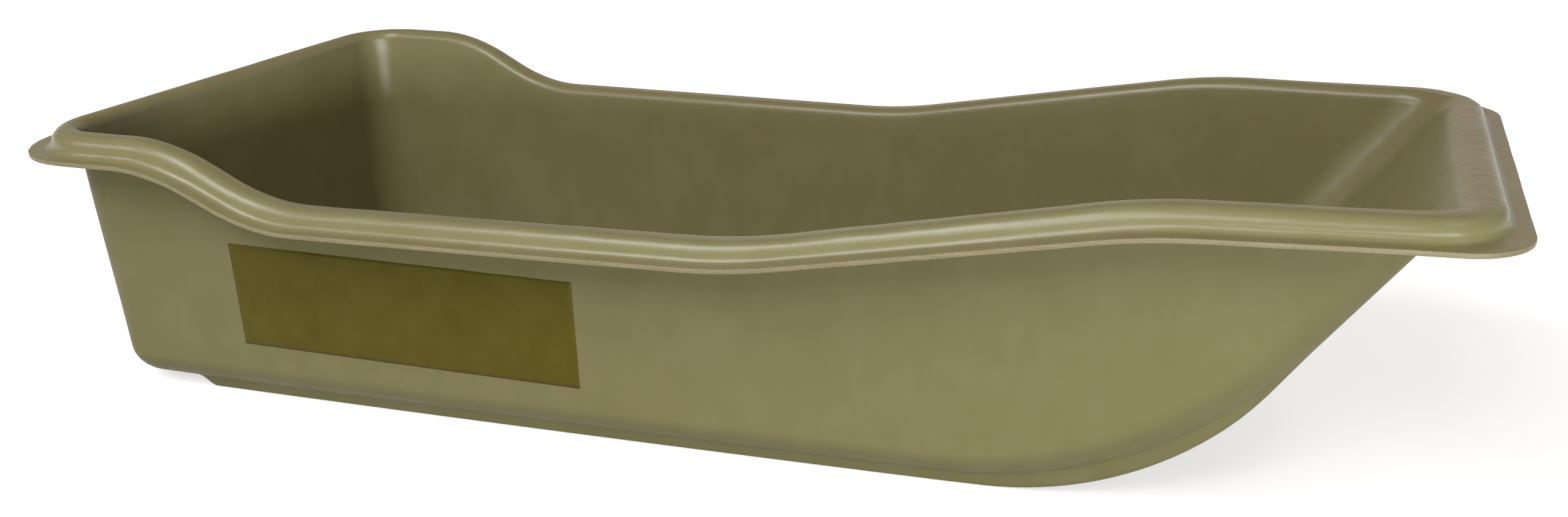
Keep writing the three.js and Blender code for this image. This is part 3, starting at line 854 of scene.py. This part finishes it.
def add_bumps(nodes, links, surface, layers):
    """Bumps one over the other, each a height and the depth in metres that it runs over."""
    normal = None
    for height, depth in layers:
        node = nodes.new("ShaderNodeBump")
        node.inputs["Distance"].default_value = depth
        links.new(height, node.inputs["Height"])
        if normal is not None:
            links.new(normal, node.inputs["Normal"])
        normal = node.outputs["Normal"]
    links.new(normal, surface.inputs["Normal"])


def moulded_material(name, colour, gloss, bumps, roughness, specular):
    """A material whose roughness varies with a noise and whose bumps are (noise, depth)."""
    material, nodes, links, surface = new_material(name)
    vector = object_coordinates(nodes, links)
    links.new(colour(nodes, links, vector), surface.inputs["Base Color"])
    shine = noise(nodes, links, vector, gloss)
    links.new(map_range(nodes, links, shine, NOISE_SPAN, roughness), surface.inputs["Roughness"])
    surface.inputs["Specular IOR Level"].default_value = specular
    heights = [(noise(nodes, links, vector, settings), depth) for settings, depth in bumps]
    add_bumps(nodes, links, surface, heights)
    return material


def hull_colour(nodes, links, vector):
    patches = noise(nodes, links, vector, HULL_PATCHES)
    stretched = object_coordinates(nodes, links, HULL_CLOUD_STRETCH)
    clouds = noise(nodes, links, stretched, HULL_CLOUDS)
    return ramp(nodes, links, mean(nodes, links, patches, clouds), OLIVE_STOPS)


def hull_material(name, roughness, specular):
    return moulded_material(name, hull_colour, HULL_GLOSS, HULL_BUMPS, roughness, specular)


def trim_material():
    """The cut edge of the sheet: paler, rougher, with the cutter's marks across it."""
    material, nodes, links, surface = new_material("hull_trimmed_edge")
    chatter = noise(nodes, links, object_coordinates(nodes, links), TRIM_CHATTER)
    stretched = object_coordinates(nodes, links, TRIM_STROKE_STRETCH)
    strokes = noise(nodes, links, stretched, TRIM_STROKES)
    marks = mean(nodes, links, chatter, strokes)
    links.new(ramp(nodes, links, marks, TRIM_STOPS), surface.inputs["Base Color"])
    surface.inputs["Roughness"].default_value = TRIM_ROUGHNESS
    layers = ((strokes, TRIM_STROKE_DEPTH), (chatter, TRIM_CHATTER_DEPTH))
    add_bumps(nodes, links, surface, layers)
    return material


def label_colour(nodes, links, vector):
    return ramp(nodes, links, noise(nodes, links, vector, LABEL_PATCHES), LABEL_STOPS)


def label_material():
    settings = (label_colour, LABEL_GLOSS, LABEL_BUMPS, LABEL_ROUGHNESS, LABEL_SPECULAR)
    return moulded_material("label_film", *settings)


# The cut edge: flecks of the film's lighter tone and of a paler colour that is a painted highlight,
# not the film's own colour.
def label_edge_highlight_material():
    material, nodes, links, surface = new_material("label_cut_edge_painted_highlight")
    flecks = noise(nodes, links, object_coordinates(nodes, links), LABEL_EDGE_FLECKS)
    links.new(ramp(nodes, links, flecks, LABEL_EDGE_HIGHLIGHT_STOPS), surface.inputs["Base Color"])
    surface.inputs["Roughness"].default_value = LABEL_EDGE_ROUGHNESS
    return material


# ---------------------------------------------------------------- pieces

def add_piece(mesh, materials, node):
    """Puts a mesh in the place of a node of the frame."""
    for material in materials:
        mesh.materials.append(material)
    piece = bpy.data.objects.new(mesh.name, mesh)
    bpy.context.scene.collection.objects.link(piece)
    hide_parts(node)
    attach(piece, "root")


hull_materials = [
    hull_material("hull_plastic", INSIDE_ROUGHNESS, INSIDE_SPECULAR),
    trim_material(),
    hull_material("hull_plastic_outside", OUTSIDE_ROUGHNESS, OUTSIDE_SPECULAR),
]
add_piece(hull_mesh(), hull_materials, "hull")
add_piece(label_mesh(), [label_material(), label_edge_highlight_material()], "side_label")


# ---------------------------------------------------------------- floor, light and camera

WHITE = (1.0, 1.0, 1.0)
FLOOR_SIZE = 30.0
FLOOR_SEEN = (0.85, 0.85, 0.85)
FLOOR_LIT = (0.11, 0.105, 0.095)
FLOOR_GLOW = (0.64, 0.95)
FLOOR_GLOW_RUN = (0.7, 2.6)
FLOOR_ROUGHNESS, FLOOR_SPECULAR = 0.9, 0.1

# What lights the sled from all round, by how far up it comes from, and what is seen behind it
SKY_LOW = (0.15, 0.12, 0.09)
SKY_MIDDLE = (0.14, 0.12, 0.09)
SKY_HIGH = (0.16, 0.145, 0.125)
SKY = ((0.0, SKY_LOW), (0.5, SKY_MIDDLE), (1.0, SKY_HIGH))
BACKDROP_LOW = (0.31, 0.265, 0.24)
BACKDROP_HIGH = (0.38, 0.33, 0.32)
BACKDROP = (
    (0.06, WHITE),
    (0.16, BACKDROP_LOW),
    (0.26, BACKDROP_LOW),
    (0.34, BACKDROP_HIGH),
    (0.46, BACKDROP_HIGH),
    (0.56, SKY_HIGH),
)

# The sockets of a Mix node for colours
MIX_FIRST, MIX_SECOND, MIX_RESULT = 6, 7, 2

# Name, place, aim, size, power in watts, colour, and whether reflections show it
SOFTBOXES = (
    ("top_softbox", (-0.9, -1.6, 2.8), (0, -0.1, 0.2),
     (1.3, 1.3), 48, (0.96, 0.95, 1.0), True),
    ("key_softbox", (0.0, -2.9, 2.5), (0, 0, 0.15),
     (1.8, 1.2), 45, (0.98, 0.95, 1.0), True),
    ("front_softbox", (1.8, -2.2, 0.24), (0.5, -0.26, 0.13),
     (2.0, 0.3), 53, (0.93, 0.98, 1.0), True),
    ("left_softbox", (-2.5, -1.9, 2.1), (0, 0, 0.2),
     (0.45, 0.45), 11, (0.96, 0.94, 1.0), True),
    ("right_softbox", (2.3, -0.5, 2.7), (0.6, -0.1, 0.3),
     (0.5, 0.5), 4, (0.94, 0.98, 1.0), True),
    ("back_softbox", (0.2, 3.6, 1.7), (0, 0, 0.25),
     (5.0, 1.2), 9, (1.0, 0.70, 0.58), True),
    ("low_back_softbox", (-2.0, 2.8, 0.22), (-0.2, 0.2, 0.12),
     (3.0, 0.35), 48, (0.98, 0.98, 1.0), False),
)

# The camera that was fitted to the photo's edges: its place in metres, its turns in radians
IMAGE_WIDTH = 2576
FOCAL_PIXELS = 2441.01
SENSOR_WIDTH = 36.0
CAMERA_PLACE = (0.57109, -1.41553, 0.66821)
CAMERA_YAW = 0.367514
CAMERA_PITCH = -0.340765
CAMERA_ROLL = -0.020496


def calculate(nodes, links, operation, first, second):
    node = nodes.new("ShaderNodeMath")
    node.operation = operation
    links.new(first, node.inputs[0])
    links.new(second, node.inputs[1])
    return node.outputs["Value"]


def seen_rays(nodes, links):
    """1 for rays that show a thing itself or its reflection, 0 for those that only light others."""
    path = nodes.new("ShaderNodeLightPath")
    seen = path.outputs["Is Camera Ray"]
    for kind in ("Is Glossy Ray", "Is Transmission Ray"):
        seen = calculate(nodes, links, "MAXIMUM", seen, path.outputs[kind])
    return seen


def add_floor():
    """A floor that is seen white and keeps the shadow, but throws little light back up."""
    mesh = bpy.data.meshes.new("studio_floor")
    half = FLOOR_SIZE / 2
    corners = [(-half, -half, 0), (half, -half, 0), (half, half, 0), (-half, half, 0)]
    mesh.from_pydata(corners, [], [(0, 1, 2, 3)])
    floor = bpy.data.objects.new("studio_floor", mesh)
    bpy.context.scene.collection.objects.link(floor)
    material, nodes, links, surface = new_material("studio_floor")
    surface.inputs["Roughness"].default_value = FLOOR_ROUGHNESS
    surface.inputs["Specular IOR Level"].default_value = FLOOR_SPECULAR
    surface.inputs["Emission Color"].default_value = (*WHITE, 1)
    seen = seen_rays(nodes, links)
    colour = ramp(nodes, links, seen, ((0, FLOOR_LIT), (1, FLOOR_SEEN)))
    links.new(colour, surface.inputs["Base Color"])
    place = nodes.new("ShaderNodeTexCoord")
    away = nodes.new("ShaderNodeVectorMath")
    away.operation = "LENGTH"
    links.new(place.outputs["Object"], away.inputs[0])
    rise = map_range(nodes, links, away.outputs["Value"], FLOOR_GLOW_RUN, FLOOR_GLOW)
    glow = calculate(nodes, links, "MULTIPLY", seen, rise)
    links.new(glow, surface.inputs["Emission Strength"])
    mesh.materials.append(material)


def add_world():
    """Dim light from all round, and a backdrop that is white at the floor and greyer higher up."""
    world = bpy.data.worlds.new("studio")
    world.use_nodes = True
    nodes, links = world.node_tree.nodes, world.node_tree.links
    place = nodes.new("ShaderNodeTexCoord")
    parts = nodes.new("ShaderNodeSeparateXYZ")
    links.new(place.outputs["Generated"], parts.inputs["Vector"])
    shown = nodes.new("ShaderNodeMix")
    shown.data_type = "RGBA"
    links.new(seen_rays(nodes, links), shown.inputs["Factor"])
    links.new(ramp(nodes, links, parts.outputs["Z"], SKY), shown.inputs[MIX_FIRST])
    links.new(ramp(nodes, links, parts.outputs["Z"], BACKDROP), shown.inputs[MIX_SECOND])
    links.new(shown.outputs[MIX_RESULT], nodes["Background"].inputs["Color"])
    bpy.context.scene.world = world


def add_softbox(name, place, target, size, power, colour, reflected):
    light = bpy.data.lights.new(name, "AREA")
    light.shape = "RECTANGLE"
    light.size, light.size_y = size
    light.energy = power
    light.color = colour
    lamp = bpy.data.objects.new(name, light)
    lamp.visible_camera = False
    lamp.visible_glossy = reflected
    lamp.location = place
    aim = Vector(target) - Vector(place)
    lamp.rotation_euler = aim.to_track_quat("-Z", "Y").to_euler()
    bpy.context.scene.collection.objects.link(lamp)


def add_camera():
    data = bpy.data.cameras.new("photo_camera")
    data.sensor_fit = "HORIZONTAL"
    data.sensor_width = SENSOR_WIDTH
    data.lens = SENSOR_WIDTH * FOCAL_PIXELS / IMAGE_WIDTH
    data.clip_end = 2 * FLOOR_SIZE
    ahead = Vector((-math.sin(CAMERA_YAW), math.cos(CAMERA_YAW), 0))
    forward = ahead * math.cos(CAMERA_PITCH)
    forward.z = math.sin(CAMERA_PITCH)
    level = Vector((math.cos(CAMERA_YAW), math.sin(CAMERA_YAW), 0))
    above = level.cross(forward)
    right = level * math.cos(CAMERA_ROLL) + above * math.sin(CAMERA_ROLL)
    up = above * math.cos(CAMERA_ROLL) - level * math.sin(CAMERA_ROLL)
    turn = Matrix((right, up, -forward)).transposed()
    camera = bpy.data.objects.new("photo_camera", data)
    camera.matrix_world = Matrix.Translation(CAMERA_PLACE) @ turn.to_4x4()
    bpy.context.scene.collection.objects.link(camera)
    bpy.context.scene.camera = camera


add_floor()
add_world()
for softbox in SOFTBOXES:
    add_softbox(*softbox)
add_camera()
bpy.context.scene.view_settings.view_transform = "Standard"
